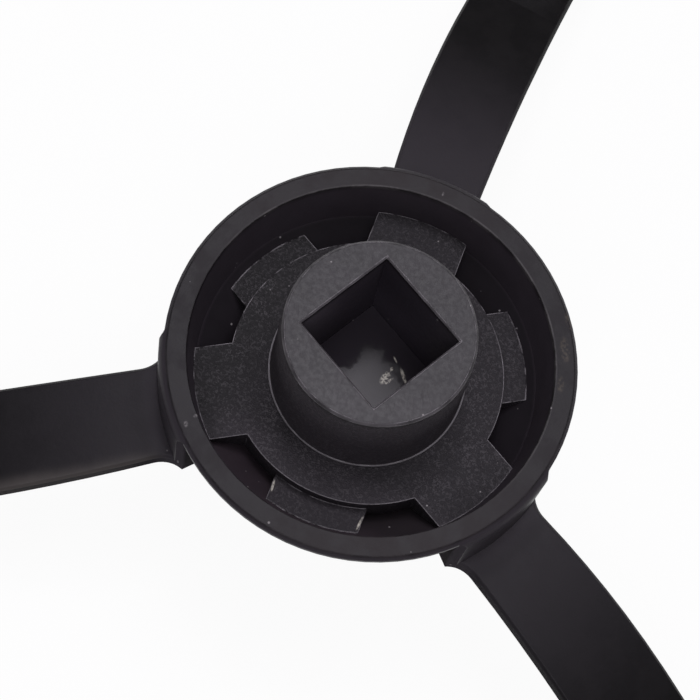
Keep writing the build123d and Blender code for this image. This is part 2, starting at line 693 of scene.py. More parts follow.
@dataclass(frozen=True)
class MouldedFinish(Finish):
    """What both black mouldings share: patchy colour, grain and dust. Millimetres."""

    base: Colour = (0.0070, 0.0058, 0.0073)
    spread: Ends = (0.4, 1.7)
    tone: Cloud = Cloud(2.6, 4.0, 0.6, 0.30, 0.70)
    mottle: Cloud = Cloud(0.45, 3.0, 0.65, 0.36, 0.64)
    mottle_share: float = 0.45
    grain_cell: float = 0.4
    grain_depth: float = 0.012
    specks: Specks = Specks(1.1, 0.32, 0.085)
    dust: Colour = (0.42, 0.40, 0.40)
    dust_rough: float = 0.9

    def black(self, wiring: Wiring, patchy: Socket) -> Socket:
        """Bare plastic, darker and paler in patches."""
        darker, paler = (tuple(share * v for v in self.base) for share in self.spread)
        return wiring.tint(patchy, darker, paler)

    def relief(self, wiring: Wiring, height: Socket, normal: Socket) -> Socket:
        """Turns the grain's height into a bent normal.

        Args:
            wiring: Hand for the material's tree.
            height: Height socket, from 0 to 1.
            normal: Normal to start from.

        Returns:
            The normal's socket.
        """
        bump = wiring.node("ShaderNodeBump")
        bump.inputs["Distance"].default_value = self.grain_depth * MM
        wiring.feed(bump.inputs["Height"], height)
        wiring.feed(bump.inputs["Normal"], normal)
        return bump.outputs[0]


@dataclass(frozen=True)
class SocketShading:
    """Painted light and shade on the socket's walls and floor. Millimetres from the middle of its
    mouth.
    """

    painted_fill: Colour = (0.0480, 0.0410, 0.0500)
    left_painted_shading: Colour = (0.1130, 0.0985, 0.1185)
    far_painted_light: Colour = (0.0560, 0.0475, 0.0600)
    right_painted_shade: Colour = (0.0340, 0.0290, 0.0370)
    deep_painted_fill: Colour = (0.0530, 0.0452, 0.0575)
    floor_painted_fill: Colour = (0.0345, 0.0293, 0.0368)
    corner_painted_shade: Colour = (0.0200, 0.0182, 0.0205)
    lit_wall: Ends = (-4.0, -4.3)
    lit_wall_run: Ends = (-4.0, 1.0)
    dark_wall: Ends = (4.0, 4.3)
    dark_wall_fall: Ends = (-3.0, -9.5)
    corner_x: Ends = (-2.4, -1.3)
    corner_y: Ends = (2.8, 1.8)
    corner_cell: float = 1.1
    corner_stray: float = 3.0

    def walls(self, wiring: Wiring, axes: bpy.types.NodeOutputs) -> Socket:
        """Painted light and shade on the walls, of which one is lit and one dark, the dark one
        lighter deep down.

        Args:
            wiring: Hand for the material's tree.
            axes: The position's X, Y and Z.

        Returns:
            The colour's socket.
        """
        far = wiring.ramp(axes["Y"], self.lit_wall_run)
        lit = wiring.tint(far, self.left_painted_shading, self.far_painted_light)
        colour = wiring.tint(wiring.ramp(axes["X"], self.lit_wall), self.painted_fill, lit)
        low = wiring.ramp(axes["Z"], self.dark_wall_fall)
        dark = wiring.tint(low, self.right_painted_shade, self.deep_painted_fill)
        return wiring.tint(wiring.ramp(axes["Y"], self.dark_wall), colour, dark)

    def smooth_corner(
        self, wiring: Wiring, place: Socket, axes: bpy.types.NodeOutputs
    ) -> Socket:
        """Smooth corner of the socket's floor, with an uneven border.

        Args:
            wiring: Hand for the material's tree.
            place: Position socket.
            axes: The position's X, Y and Z.

        Returns:
            The corner's mask.
        """
        stray = wiring.stray(place, self.corner_cell, self.corner_stray)
        return wiring.times(
            wiring.ramp(wiring.math("ADD", axes["X"], stray), self.corner_x),
            wiring.ramp(wiring.math("ADD", axes["Y"], stray), self.corner_y),
        )


@dataclass(frozen=True)
class CoreFinish(MouldedFinish):
    """Hard near-black plastic: spark-eroded disc, satin boss top and socket. Millimetres."""

    name: str = "core_plastic_grained"
    spread: Ends = (0.3, 1.9)
    tone: Cloud = Cloud(2.4, 3.0, 0.5, 0.30, 0.70)
    mottle: Cloud = Cloud(0.42, 3.0, 0.65, 0.36, 0.64)
    mottle_share: float = 0.5
    grain_cell: float = 0.28
    grain_depth: float = 0.16
    smooth_grain: float = 0.07
    specks: Specks = Specks(0.9, 0.3, 0.085)
    # Painted light and shade in the socket, on the disc and on the boss's side, the colour of wear
    # and painted highlights, and the glints' colour
    socket_shading: SocketShading = SocketShading()
    painted_fill: Colour = (0.0148, 0.0127, 0.0156)
    near_painted_fill: Colour = (0.0290, 0.0250, 0.0300)
    left_painted_shading: Colour = (0.0052, 0.0045, 0.0054)
    boss_painted_fill: Colour = (0.0320, 0.0275, 0.0325)
    wear_and_highlight: Colour = (0.30, 0.285, 0.30)
    glint: Colour = (0.80, 0.77, 0.66)
    # Gloss
    specular: float = 0.33
    satin: float = 0.42
    satin_spread: float = 0.035
    near_gloss: float = 0.022
    socket_gloss: float = 0.39
    socket_matt: float = 1.0
    grained: float = 0.62
    rubbed_gloss: float = 0.7
    scratch_rough: float = 0.12
    scratch_turn: float = 0.7
    scratch_spacing: float = 0.5
    # How strongly each kind of wear and painted highlight shows
    fleck_spread: Ends = (0.5, 1.3)
    lip_highlight_spread: Ends = (0.14, 0.34)
    brim_highlight_spread: Ends = (0.06, 0.24)
    fleck_share: float = 0.10
    edge_wear_and_highlight_share: float = 0.9
    brink_highlight_share: float = 0.75
    ring_share: float = 0.35
    scratch_share: float = 0.06
    glint_share: float = 0.8
    dust_share: float = 0.7
    # Directions
    near_way: Place = (0.42, -0.91, 0.0)
    left_way: Place = (-0.94, -0.34, 0.0)
    gloss_way: Place = (0.60, -0.80, 0.0)
    # Borders of the areas
    socket_half: float = 4.45
    socket_edge: Ends = (0.16, 0.02)
    socket_floor: float = -10.8
    floor_edge: Ends = (0.05, 0.30)
    wall_start: Ends = (-0.3, -1.2)
    mouth: Ends = (-0.3, -0.6)
    lip_edge: Ends = (0.21, 0.15)
    lip_height: Ends = (-0.24, -0.14)
    boss_half: float = 7.8
    boss_foot: float = 8.13
    top_height: Ends = (-0.45, -0.3)
    brim_edge: Ends = (-0.26, -0.19)
    brim_height: Ends = (-0.32, -0.2)
    side_edge: Ends = (0.1, 0.02)
    side_height: Ends = (-0.2, -1.0)
    disc_level: float = -9.6
    brink_right: Ends = (-5.5, -9.0)
    brink_near: Ends = (8.0, 10.0)
    brink_height: Ends = (-0.35, -0.2)
    ring_offset: float = 0.07
    ring_edge: Ends = (0.11, 0.06)
    ring_height: Ends = (0.12, 0.06)
    fill_level: float = -0.3
    fill_reach: float = 17.0
    near_fill_run: Ends = (7.3, 9.8)
    left_shading_run: Ends = (6.2, 10.2)
    gloss_run: Ends = (2.5, 6.5)
    # Painted glints: highlights on the socket's floor and on the low lobes' ends
    glints: tuple[Spot, ...] = (
        Spot((1.135, 1.135, -10.8), (0.78, 0.40, 0.3), 76.0, 0.24, 1.0),
        Spot((1.135, 1.135, -10.8), (0.60, 0.10, 0.3), 70.0, 0.2, 0.8),
        Spot((1.57, 1.185, -10.8), (0.56, 0.16, 0.3), 93.7, 0.2, 1.0),
        Spot((0.90, 2.05, -10.8), (0.26, 0.16, 0.3), 60.0, 0.2, 0.8),
        Spot((0.45, 2.85, -10.8), (0.40, 0.09, 0.3), 15.9, 0.3, 0.4),
        Spot((1.97, 2.45, -10.8), (0.92, 0.19, 0.3), 22.9, 0.3, 0.85),
        Spot((2.55, -12.13, -10.85), (0.62, 0.13, 0.5), 55.3, 0.3, 0.7),
        Spot((9.38, -8.55, -10.85), (0.78, 0.13, 0.5), 66.5, 0.3, 0.7),
    )

    def material(self) -> bpy.types.Material:
        """Builds the material.

        Returns:
            The finished material.
        """
        material, wiring, shader, place = self.start()
        axes = wiring.axes(place)
        height = axes["Z"]
        sides = (wiring.math("ABSOLUTE", axes["X"]), wiring.math("ABSOLUTE", axes["Y"]))
        half = wiring.math("MAXIMUM", *sides)
        out = wiring.length(wiring.flat(place))
        near = wiring.along(place, self.near_way)
        left = wiring.along(place, self.left_way)
        tone = self.tone.mask(wiring, place)
        mottle = self.mottle.mask(wiring, place)
        grain = GRAIN.put(wiring, Position=place, Cell=self.grain_cell * MM)
        edge = EDGE.put(wiring, Position=place)
        specks = self.specks.mask(wiring, place)

        # Areas of the boss, the socket and the disc
        top = wiring.ramp(height, self.top_height)
        socket = wiring.ramp(half, self.socket_edge, self.socket_half)
        raised = wiring.ramp(height, self.floor_edge, self.socket_floor)
        walls = wiring.times(socket, wiring.ramp(height, self.wall_start), raised)
        floor = wiring.times(socket, wiring.outside(raised))
        corner = self.socket_shading.smooth_corner(wiring, place, axes)
        ring = self.foot_ring(wiring, out, height)
        polished = wiring.math("MAXIMUM", wiring.math("MAXIMUM", top, socket), ring)
        # Painted fill light: lifts the black on all below the boss's top, where shade falls
        painted_fill = FILL_LIGHT.put(
            wiring,
            Position=place,
            Level=self.fill_level * MM,
            Reach=self.fill_reach * MM,
            Draft=0.0,
        )["Mask"]
        side = wiring.times(
            wiring.ramp(out, self.side_edge, self.boss_foot), wiring.ramp(height, self.side_height)
        )

        # Wear and painted edge highlights; the edge marks stop at the socket's mouth
        deep = wiring.times(socket, wiring.ramp(height, self.mouth))
        # Edge marks: partly wear, partly painted highlight
        edge_wear_and_highlight = wiring.times(edge["Mask"], wiring.outside(deep))
        # Painted highlight along the disc's right and near edge
        brink_highlight = self.brink_highlight(wiring, near, left, height)
        edge_wear_and_highlight = wiring.math("MAXIMUM", edge_wear_and_highlight, wiring.times(edge["Whole"], brink_highlight))
        lines = SCRATCHES.put(
            wiring, Position=place, Turn=self.scratch_turn, Spacing=self.scratch_spacing * MM
        )
        scratch = wiring.times(lines["Mask"], top)
        fleck = wiring.times(
            grain["Fleck"], wiring.outside(polished), wiring.between(tone, *self.fleck_spread)
        )
        # Painted highlight on the socket's lead-in
        lip_highlight = wiring.times(
            wiring.ramp(half, self.lip_edge, self.socket_half), wiring.ramp(height, self.lip_height)
        )
        # Painted highlight on the boss top's rounded outer edge
        brim_highlight = wiring.times(
            wiring.ramp(out, self.brim_edge, self.boss_half), wiring.ramp(height, self.brim_height)
        )

        # Colour, from the bare plastic through painted light and shade, wear and painted highlights
        # up to the loose dust
        colour = self.black(wiring, wiring.between(self.mottle_share, tone, mottle))
        # Painted light and shade: disc lighter near and darker at the left, boss's shaded side
        # lifted
        colour = wiring.tint(painted_fill, colour, self.disc_painted_light(wiring, near, left))
        colour = wiring.tint(side, colour, self.boss_painted_fill)
        # Painted light and shade in the socket: walls and floor lifted, the smooth corner kept
        # darker
        colour = wiring.tint(walls, colour, self.socket_shading.walls(wiring, axes))
        bottom = wiring.tint(corner, self.socket_shading.floor_painted_fill, self.socket_shading.corner_painted_shade)
        colour = wiring.tint(floor, colour, bottom)
        marks_and_highlights = (
            (fleck, self.fleck_share),
            (edge_wear_and_highlight, self.edge_wear_and_highlight_share),
            (ring, self.ring_share),
            (lip_highlight, wiring.between(tone, *self.lip_highlight_spread)),
            (brim_highlight, wiring.between(tone, *self.brim_highlight_spread)),
            (scratch, self.scratch_share),
        )
        for mask, share in marks_and_highlights:
            colour = wiring.cover(colour, mask, share, self.wear_and_highlight)
        for glint in self.glints:
            colour = wiring.cover(colour, glint.mask(wiring, place), self.glint_share, self.glint)
        colour = wiring.cover(colour, specks, self.dust_share, self.dust)
        wiring.feed(shader.inputs["Base Color"], colour)

        # Gloss: the disc is matt, the boss's top satin and one corner of the socket's floor smooth
        smooth = wiring.between(
            mottle, self.satin - self.satin_spread, self.satin + self.satin_spread
        )
        glossy = wiring.ramp(wiring.along(place, self.gloss_way), self.gloss_run)
        smooth = wiring.math("SUBTRACT", smooth, wiring.times(glossy, self.near_gloss))
        bottom = wiring.between(corner, self.socket_matt, self.socket_gloss)
        rough = wiring.between(polished, self.grained, wiring.between(floor, smooth, bottom))
        rough = wiring.between(wiring.times(edge_wear_and_highlight, self.rubbed_gloss), rough, self.satin)
        rough = wiring.math("ADD", rough, wiring.times(scratch, self.scratch_rough))
        wiring.feed(shader.inputs["Roughness"], wiring.between(specks, rough, self.dust_rough))
        shader.inputs["Specular IOR Level"].default_value = self.specular

        # Grain, which is shallow where the mould is polished
        pits = wiring.times(grain["Height"], wiring.between(polished, 1.0, self.smooth_grain))
        wiring.feed(shader.inputs["Normal"], self.relief(wiring, pits, edge["Normal"]))
        return material

    def disc_painted_light(self, wiring: Wiring, near: Socket, left: Socket) -> Socket:
        """Painted light on the disc: lighter near, where the boss's shade falls, and darker at the
        left.

        Args:
            wiring: Hand for the material's tree.
            near: Distance towards the near side.
            left: Distance towards the left.

        Returns:
            The colour's socket.
        """
        colour = wiring.tint(wiring.ramp(near, self.near_fill_run), self.painted_fill, self.near_painted_fill)
        return wiring.tint(wiring.ramp(left, self.left_shading_run), colour, self.left_painted_shading)

    def brink_highlight(self, wiring: Wiring, near: Socket, left: Socket, height: Socket) -> Socket:
        """Part of the disc's edge that gets a painted highlight all along: right and near.

        Args:
            wiring: Hand for the material's tree.
            near: Distance towards the near side.
            left: Distance towards the left.
            height: The position's height.

        Returns:
            The part's mask.
        """
        reach = wiring.math(
            "MAXIMUM", wiring.ramp(left, self.brink_right), wiring.ramp(near, self.brink_near)
        )
        level = wiring.ramp(height, self.brink_height, self.disc_level)
        return wiring.times(reach, level, self.brink_highlight_share)

    def foot_ring(self, wiring: Wiring, out: Socket, height: Socket) -> Socket:
        """Thin smooth ring on the disc round the boss's foot.

        Args:
            wiring: Hand for the material's tree.
            out: Distance from the spin axis.
            height: The position's height.

        Returns:
            The ring's mask.
        """
        aside = wiring.apart(out, (self.boss_foot + self.ring_offset) * MM)
        above = wiring.apart(height, self.disc_level * MM)
        return wiring.times(
            wiring.ramp(aside, self.ring_edge), wiring.ramp(above, self.ring_height)
        )


@dataclass(frozen=True)
class SoftFinish(MouldedFinish):
    """Near-black soft moulding with a satin skin. Millimetres."""

    name: str = "soft_moulding_satin"
    rim_tone: Cloud = Cloud(2.6, 5.0, 0.65, 0.40, 0.60)
    # Painted light and shade, dust along one edge, the colour of wear and painted highlights, and
    # scuffs
    root_painted_light: Colour = (0.0142, 0.0123, 0.0150)
    far_root_painted_light: Colour = (0.0265, 0.0230, 0.0280)
    edge_dust: Colour = (0.0520, 0.0468, 0.0440)
    tip_painted_shade: Colour = (0.0016, 0.0014, 0.0017)
    riser_painted_fill: Colour = (0.0300, 0.0260, 0.0315)
    painted_fill: Colour = (0.0125, 0.0104, 0.0130)
    near_painted_fill: Colour = (0.0240, 0.0195, 0.0225)
    shade_painted_fill: Colour = (0.0380, 0.0290, 0.0350)
    wall_painted_fill: Colour = (0.0480, 0.0405, 0.0490)
    rim_painted_sheen: Colour = (0.0175, 0.0140, 0.0150)
    wear_and_highlight: Colour = (0.13, 0.125, 0.125)
    scuffed: Colour = (0.22, 0.18, 0.13)
    # Gloss
    specular: float = 0.185
    sheen_rough: float = 0.45
    sheen_spread: float = 0.05
    rim_share: float = 0.5
    fill_rough: float = 0.2
    tip_gloss: float = 0.09
    flank_rough: float = 0.9
    flank_lift: float = 0.42
    # How strongly wear, dust, painted highlights, painted sheen and painted light show
    painted_sheen_reach: Ends = (0.04, 0.62)
    painted_sheen_spread: Ends = (0.6, 1.4)
    lip_highlight_spread: Ends = (0.10, 0.42)
    arm_share: float = 0.85
    edge_wear_and_highlight_share: float = 0.12
    scuff_share: float = 0.18
    nick_share: float = 0.30
    dust_share: float = 0.6
    # Directions
    near_way: Place = (0.79, -0.61, 0.0)
    shade_way: Place = (0.17, -0.985, 0.0)
    far_arm_way: Place = (-0.50, 0.866, 0.0)
    dusty_arm_way: Place = (-0.50, -0.866, 0.0)
    dusty_side_way: Place = (0.866, -0.50, 0.0)
    # Borders of the areas
    speck_reach: Ends = (18.0, 17.3)
    rim_level: float = -5.9
    rim_lip: float = 15.13
    lip_edge: Ends = (0.14, 0.06)
    lip_height: Ends = (-0.45, -0.3)
    lip_run: Ends = (4.0, -4.0)
    bevel_top: float = -10.3
    bevel_edge: Ends = (-0.2, 0.2)
    near_fill_run: Ends = (7.0, 11.5)
    shade_fill_run: Ends = (8.8, 11.3)
    arm_start: Ends = (16.66, 16.9)
    riser_run: Ends = (19.3, 17.6)
    far_root_run: Ends = (14.0, 17.0)
    tip_run: Ends = (20.0, 38.0)
    tip_gloss_run: Ends = (24.0, 44.0)
    dusty_width: Ends = (2.8, 4.5)
    dusty_start: Ends = (17.0, 19.0)
    dusty_end: Ends = (46.0, 34.0)
    dusty_cell: float = 3.0
    dusty_stray: float = 0.9
    flank_steep: Ends = (0.45, 0.15)
    flank_facing: Ends = (0.995, 0.97)
    flank_start: Ends = (14.0, 14.5)
    flank_run: Ends = (19.0, 22.0)
    flank_arm_share: float = 0.7
    # Marks on the rim
    scuffs: tuple[Spot, ...] = (
        Spot((9.4, 12.9, -5.9), (0.5, 1.4, 0.8), -54.0),
        Spot((7.7, 14.9, -5.9), (0.4, 1.0, 0.8), -62.0),
        Spot((11.4, 10.6, -5.9), (0.35, 0.9, 0.8), -44.0),
    )
    nicks: tuple[Spot, ...] = (
        Spot((-4.82, -15.47, -5.9), (0.34, 0.22, 0.5), 30.0, 0.14, 0.9),
        Spot((-4.87, -14.41, -6.0), (0.17, 0.30, 0.5), 20.0, 0.14, 0.8),
        Spot((-5.11, -16.88, -9.0), (0.20, 0.20, 1.2), 0.0, 0.16, 0.6),
        Spot((-7.37, 14.00, -5.9), (0.24, 0.12, 0.5), 60.0, 0.14, 0.8),
    )

    def material(self) -> bpy.types.Material:
        """Builds the material.

        Returns:
            The finished material.
        """
        material, wiring, shader, place = self.start()
        height = wiring.axes(place)["Z"]
        flat = wiring.flat(place)
        out = wiring.length(flat)
        radial = wiring.unit(flat)
        shade = wiring.along(place, self.shade_way)
        rim_tone = self.rim_tone.mask(wiring, place)
        tone = self.tone.mask(wiring, place)
        patchy = wiring.between(self.mottle_share, tone, self.mottle.mask(wiring, place))
        grain = GRAIN.put(wiring, Position=place, Cell=self.grain_cell * MM)
        edge = EDGE.put(wiring, Position=place)
        # Painted fill light: lifts the black in the bowl, where shade falls
        painted_fill = FILL_LIGHT.put(wiring, Position=place)["Mask"]
        specks = wiring.times(self.specks.mask(wiring, place), wiring.ramp(out, self.speck_reach))
        flank = self.flank(wiring, radial, out)
        dusty = wiring.times(self.dusty_edge(wiring, place), wiring.outside(flank))
        # Edge marks: partly wear, partly painted highlight
        edge_wear_and_highlight = wiring.times(edge["Mask"], wiring.outside(painted_fill))
        # Painted highlight on the rim's inner edge, on the far side only
        lip_highlight = wiring.times(
            wiring.ramp(wiring.apart(out, self.rim_lip * MM), self.lip_edge),
            wiring.ramp(height, self.lip_height, self.rim_level),
            wiring.ramp(shade, self.lip_run),
        )

        # Colour, from the bare skin through painted sheen, painted light and shade, and wear up to
        # the loose dust
        # Painted sheen: lighter along the near-far axis
        axis = wiring.along(radial, self.near_way)
        painted_sheen = wiring.between(wiring.times(axis, axis), *self.painted_sheen_reach)
        painted_sheen_share = wiring.between(rim_tone, *self.painted_sheen_spread)
        colour = wiring.cover(self.black(wiring, patchy), painted_sheen, painted_sheen_share, self.rim_painted_sheen)
        # Painted light and shade along the arms
        arm = self.arm_painted_light(wiring, place, out)
        colour = wiring.cover(colour, wiring.ramp(out, self.arm_start), self.arm_share, arm)
        colour = wiring.tint(dusty, colour, self.edge_dust)
        # Painted fill light in the bowl
        colour = wiring.tint(painted_fill, colour, self.bowl_painted_fill(wiring, place, shade, height))
        colour = wiring.cover(colour, edge_wear_and_highlight, self.edge_wear_and_highlight_share, self.wear_and_highlight)
        for scuff in self.scuffs:
            mark = scuff.mask(wiring, place)
            colour = wiring.cover(colour, mark, self.scuff_share, self.scuffed)
        for nick in self.nicks:
            colour = wiring.cover(colour, nick.mask(wiring, place), self.nick_share, self.dust)
        lip_highlight_share = wiring.between(rim_tone, *self.lip_highlight_spread)
        colour = wiring.cover(colour, lip_highlight, lip_highlight_share, self.wear_and_highlight)
        colour = wiring.cover(colour, specks, self.dust_share, self.dust)
        wiring.feed(shader.inputs["Base Color"], colour)

        # Gloss: satin, duller where the painted fill lies and on the steep sides
        sheen = wiring.between(self.rim_share, patchy, rim_tone)
        rough = wiring.between(
            sheen, self.sheen_rough - self.sheen_spread, self.sheen_rough + self.sheen_spread
        )
        rough = wiring.math("ADD", rough, wiring.times(painted_fill, self.fill_rough))
        tip = wiring.ramp(out, self.tip_gloss_run)
        rough = wiring.math("SUBTRACT", rough, wiring.times(tip, self.tip_gloss))
        rough = wiring.between(flank, rough, self.flank_rough)
        wiring.feed(shader.inputs["Roughness"], wiring.between(specks, rough, self.dust_rough))
        shader.inputs["Specular IOR Level"].default_value = self.specular

        # Grain, on steep sides that are eased a little upwards
        lift = wiring.node("ShaderNodeCombineXYZ")
        wiring.feed(lift.inputs["Z"], wiring.times(flank, self.flank_lift))
        eased = wiring.vector("ADD", edge["Normal"], lift.outputs[0]).outputs[0]
        normal = self.relief(wiring, grain["Height"], wiring.unit(eased))
        wiring.feed(shader.inputs["Normal"], normal)
        return material

    def arm_painted_light(self, wiring: Wiring, place: Socket, out: Socket) -> Socket:
        """Painted light on the arms: lighter at the riser and the root, the far arm's root lighter
        still, darker towards the tip.

        Args:
            wiring: Hand for the material's tree.
            place: Position socket.
            out: Distance from the spin axis.

        Returns:
            The colour's socket.
        """
        far = wiring.ramp(wiring.along(place, self.far_arm_way), self.far_root_run)
        root = wiring.tint(far, self.root_painted_light, self.far_root_painted_light)
        colour = wiring.tint(wiring.ramp(out, self.tip_run), root, self.tip_painted_shade)
        return wiring.tint(wiring.ramp(out, self.riser_run), colour, self.riser_painted_fill)

    def bowl_painted_fill(self, wiring: Wiring, place: Socket, shade: Socket, height: Socket) -> Socket:
        """Painted fill light on the bowl's floor and wall: lighter near, on the shaded side and on
        the wall.

        Args:
            wiring: Hand for the material's tree.
            place: Position socket.
            shade: Distance towards the shaded side.
            height: The position's height.

        Returns:
            The colour's socket.
        """
        near = wiring.ramp(wiring.along(place, self.near_way), self.near_fill_run)
        floor = wiring.tint(near, self.painted_fill, self.near_painted_fill)
        floor = wiring.tint(wiring.ramp(shade, self.shade_fill_run), floor, self.shade_painted_fill)
        wall = wiring.ramp(height, self.bevel_edge, self.bevel_top)
        return wiring.tint(wall, floor, self.wall_painted_fill)

    def dusty_edge(self, wiring: Wiring, place: Socket) -> Socket:
        """Dust that lies along one edge of the arm at two thirds of a turn.

        Args:
            wiring: Hand for the material's tree.
            place: Position socket.

        Returns:
            The dust's mask.
        """
        along = wiring.along(place, self.dusty_arm_way)
        stray = wiring.stray(place, self.dusty_cell, self.dusty_stray)
        across = wiring.math("ADD", wiring.along(place, self.dusty_side_way), stray)
        band = wiring.ramp(across, self.dusty_width)
        ends = (wiring.ramp(along, self.dusty_start), wiring.ramp(along, self.dusty_end))
        return wiring.times(band, band, *ends)

    def flank(self, wiring: Wiring, radial: Socket, out: Socket) -> Socket:
        """Steep sides of the risers, and to a lesser degree of the arms beyond them.

        Args:
            wiring: Hand for the material's tree.
            radial: Direction away from the spin axis.
            out: Distance from the spin axis.

        Returns:
            The sides' mask.
        """
        normal = wiring.node("ShaderNodeNewGeometry").outputs["Normal"]
        slope = wiring.math("ABSOLUTE", wiring.axes(normal)["Z"])
        plan = wiring.unit(wiring.flat(normal))
        facing = wiring.math("ABSOLUTE", wiring.along(plan, radial))
        return wiring.times(
            wiring.step(slope, *self.flank_steep),
            wiring.step(facing, *self.flank_facing),
            wiring.ramp(out, self.flank_start),
            wiring.between(wiring.ramp(out, self.flank_run), 1.0, self.flank_arm_share),
        )


@dataclass(frozen=True)
class BristleFinish(Finish):
    """Black nylon filament. Millimetres."""

    name: str = "bristle_nylon_black"
    base: Colour = (0.011, 0.010, 0.011)
    paler: Colour = (0.032, 0.030, 0.030)
    streak_cell: float = 0.45
    streak_ends: Ends = (0.35, 0.75)
    rough: Ends = (0.32, 0.48)
    specks: Specks = Specks(0.8, 0.15, 0.1)
    dust: Colour = (0.4, 0.38, 0.35)
    dust_share: float = 0.5

    def material(self) -> bpy.types.Material:
        """Builds the material.

        Returns:
            The finished material.
        """
        material, wiring, shader, place = self.start()
        streak = wiring.noise(place, self.streak_cell * MM, detail=1.0)
        colour = wiring.tint(wiring.step(streak, *self.streak_ends), self.base, self.paler)
        specks = self.specks.mask(wiring, place)
        colour = wiring.cover(colour, specks, self.dust_share, self.dust)
        wiring.feed(shader.inputs["Base Color"], colour)
        wiring.feed(shader.inputs["Roughness"], wiring.between(streak, *self.rough))
        return material


@dataclass(frozen=True)
class FloorFinish(Finish):
    """Pale table top, white to the camera with a soft shadow and open from below."""

    name: str = "pale_floor"
    colour: Colour = (0.93, 0.93, 0.93)
    darker: float = 0.985
    cloud_cell: float = 40.0
    rough: float = 0.9
    specular: float = 0.1
    glow: float = 0.94

    def material(self) -> bpy.types.Material:
        """Builds the material.

        Returns:
            The finished material.
        """
        material, wiring, shader, place = self.start()
        cloud = wiring.noise(place, self.cloud_cell * MM, detail=2.0)
        darker = tuple(self.darker * v for v in self.colour)
        wiring.feed(shader.inputs["Base Color"], wiring.tint(cloud, darker, self.colour))
        shader.inputs["Roughness"].default_value = self.rough
        shader.inputs["Specular IOR Level"].default_value = self.specular
        rays = wiring.node("ShaderNodeLightPath").outputs
        seen = wiring.math("MAXIMUM", rays["Is Camera Ray"], rays["Is Glossy Ray"])
        seen = wiring.math("MAXIMUM", seen, rays["Is Transmission Ray"])
        white = wiring.node("ShaderNodeEmission").outputs[0]
        lit = self.mix(wiring, wiring.times(seen, self.glow), shader.outputs[0], white)
        below = wiring.node("ShaderNodeNewGeometry").outputs["Backfacing"]
        clear = wiring.node("ShaderNodeBsdfTransparent").outputs[0]
        surface = material.node_tree.nodes["Material Output"].inputs["Surface"]
        wiring.feed(surface, self.mix(wiring, below, lit, clear))
        return material

    def mix(self, wiring: Wiring, share: Socket, first: Socket, second: Socket) -> Socket:
        """Goes from one shader to another.

        Args:
            wiring: Hand for the material's tree.
            share: 0 for the first shader and 1 for the second.
            first: Shader socket.
            second: Shader socket.

        Returns:
            The shader's socket.
        """
        made = wiring.node("ShaderNodeMixShader")
        for socket, value in zip(made.inputs, (share, first, second)):
            wiring.feed(socket, value)
        return made.outputs[0]


def placing(axes: tuple[Vector, Vector, Vector], origin: Vector) -> Matrix:
    """Makes the matrix that places something.

    Args:
        axes: Its X, Y and Z directions.
        origin: Its origin, in millimetres.

    Returns:
        The matrix, in metres.
    """
    place = Matrix.Identity(4)
    for column, axis in enumerate(axes):
        place.col[column] = (*axis, 0.0)
    place.col[3] = (*(origin * MM), 1.0)
    return place


def add_object(name: str, data: bpy.types.ID) -> bpy.types.Object:
    """Puts a new object in the scene.

    Args:
        name: Its name.
        data: Its mesh, lamp or camera.

    Returns:
        The object.
    """
    made = bpy.data.objects.new(name, data)
    bpy.context.scene.collection.objects.link(made)
    return made


def add_mesh(
    name: str, mesh: bmesh.types.BMesh, material: bpy.types.Material
) -> bpy.types.Object:
    """Turns a finished mesh into an object in the scene.

    Args:
        name: The object's name.
        mesh: Mesh to use up.
        material: Finish of the object.

    Returns:
        The object.
    """
    data = bpy.data.meshes.new(name)
    mesh.to_mesh(data)
    mesh.free()
    data.materials.append(material)
    return add_object(name, data)


def add_skin(mesh: bmesh.types.BMesh, rings: list[list[bmesh.types.BMVert]]) -> None:
    """Joins rings of corners with smooth faces and closes both ends.

    Args:
        mesh: Mesh that the corners are in.
        rings: Rings with equally many corners, in order.
    """
    for lower, upper in zip(rings, rings[1:]):
        for side in range(len(lower)):
            after = (side + 1) % len(lower)
            face = mesh.faces.new((lower[side], lower[after], upper[after], upper[side]))
            face.smooth = True
    mesh.faces.new(rings[-1])
    mesh.faces.new(rings[0][::-1])


@dataclass
class PaintedPiece:
    """A piece that keeps its CAD shape and gets a finish."""

    node: str
    slot: Slot
    finish: Finish

    def dress(self, nodes: dict[str, bpy.types.Object]) -> None:
        """Gives every material slot of the CAD node the finish.

        Args:
            nodes: CAD nodes by name.
        """
        node = nodes[self.node]
        material = self.finish.material()
        if not node.material_slots:
            node.data.materials.append(material)
        for holder in node.material_slots:
            holder.material = material
        LOG.info("dressed %s as %s", self.node, self.slot.value)


@dataclass
class DriveCore(PaintedPiece):
    """Rigid core with the disc, its lobes, the boss and the socket."""

    node: str = "drive_core"
    slot: Slot = Slot.CORE
    finish: Finish = field(default_factory=CoreFinish)


@dataclass
class SoftSpider(PaintedPiece):
    """Soft moulding of the bowl and the arms."""

    node: str = "soft_spider"
    slot: Slot = Slot.SOFT
    finish: Finish = field(default_factory=SoftFinish)


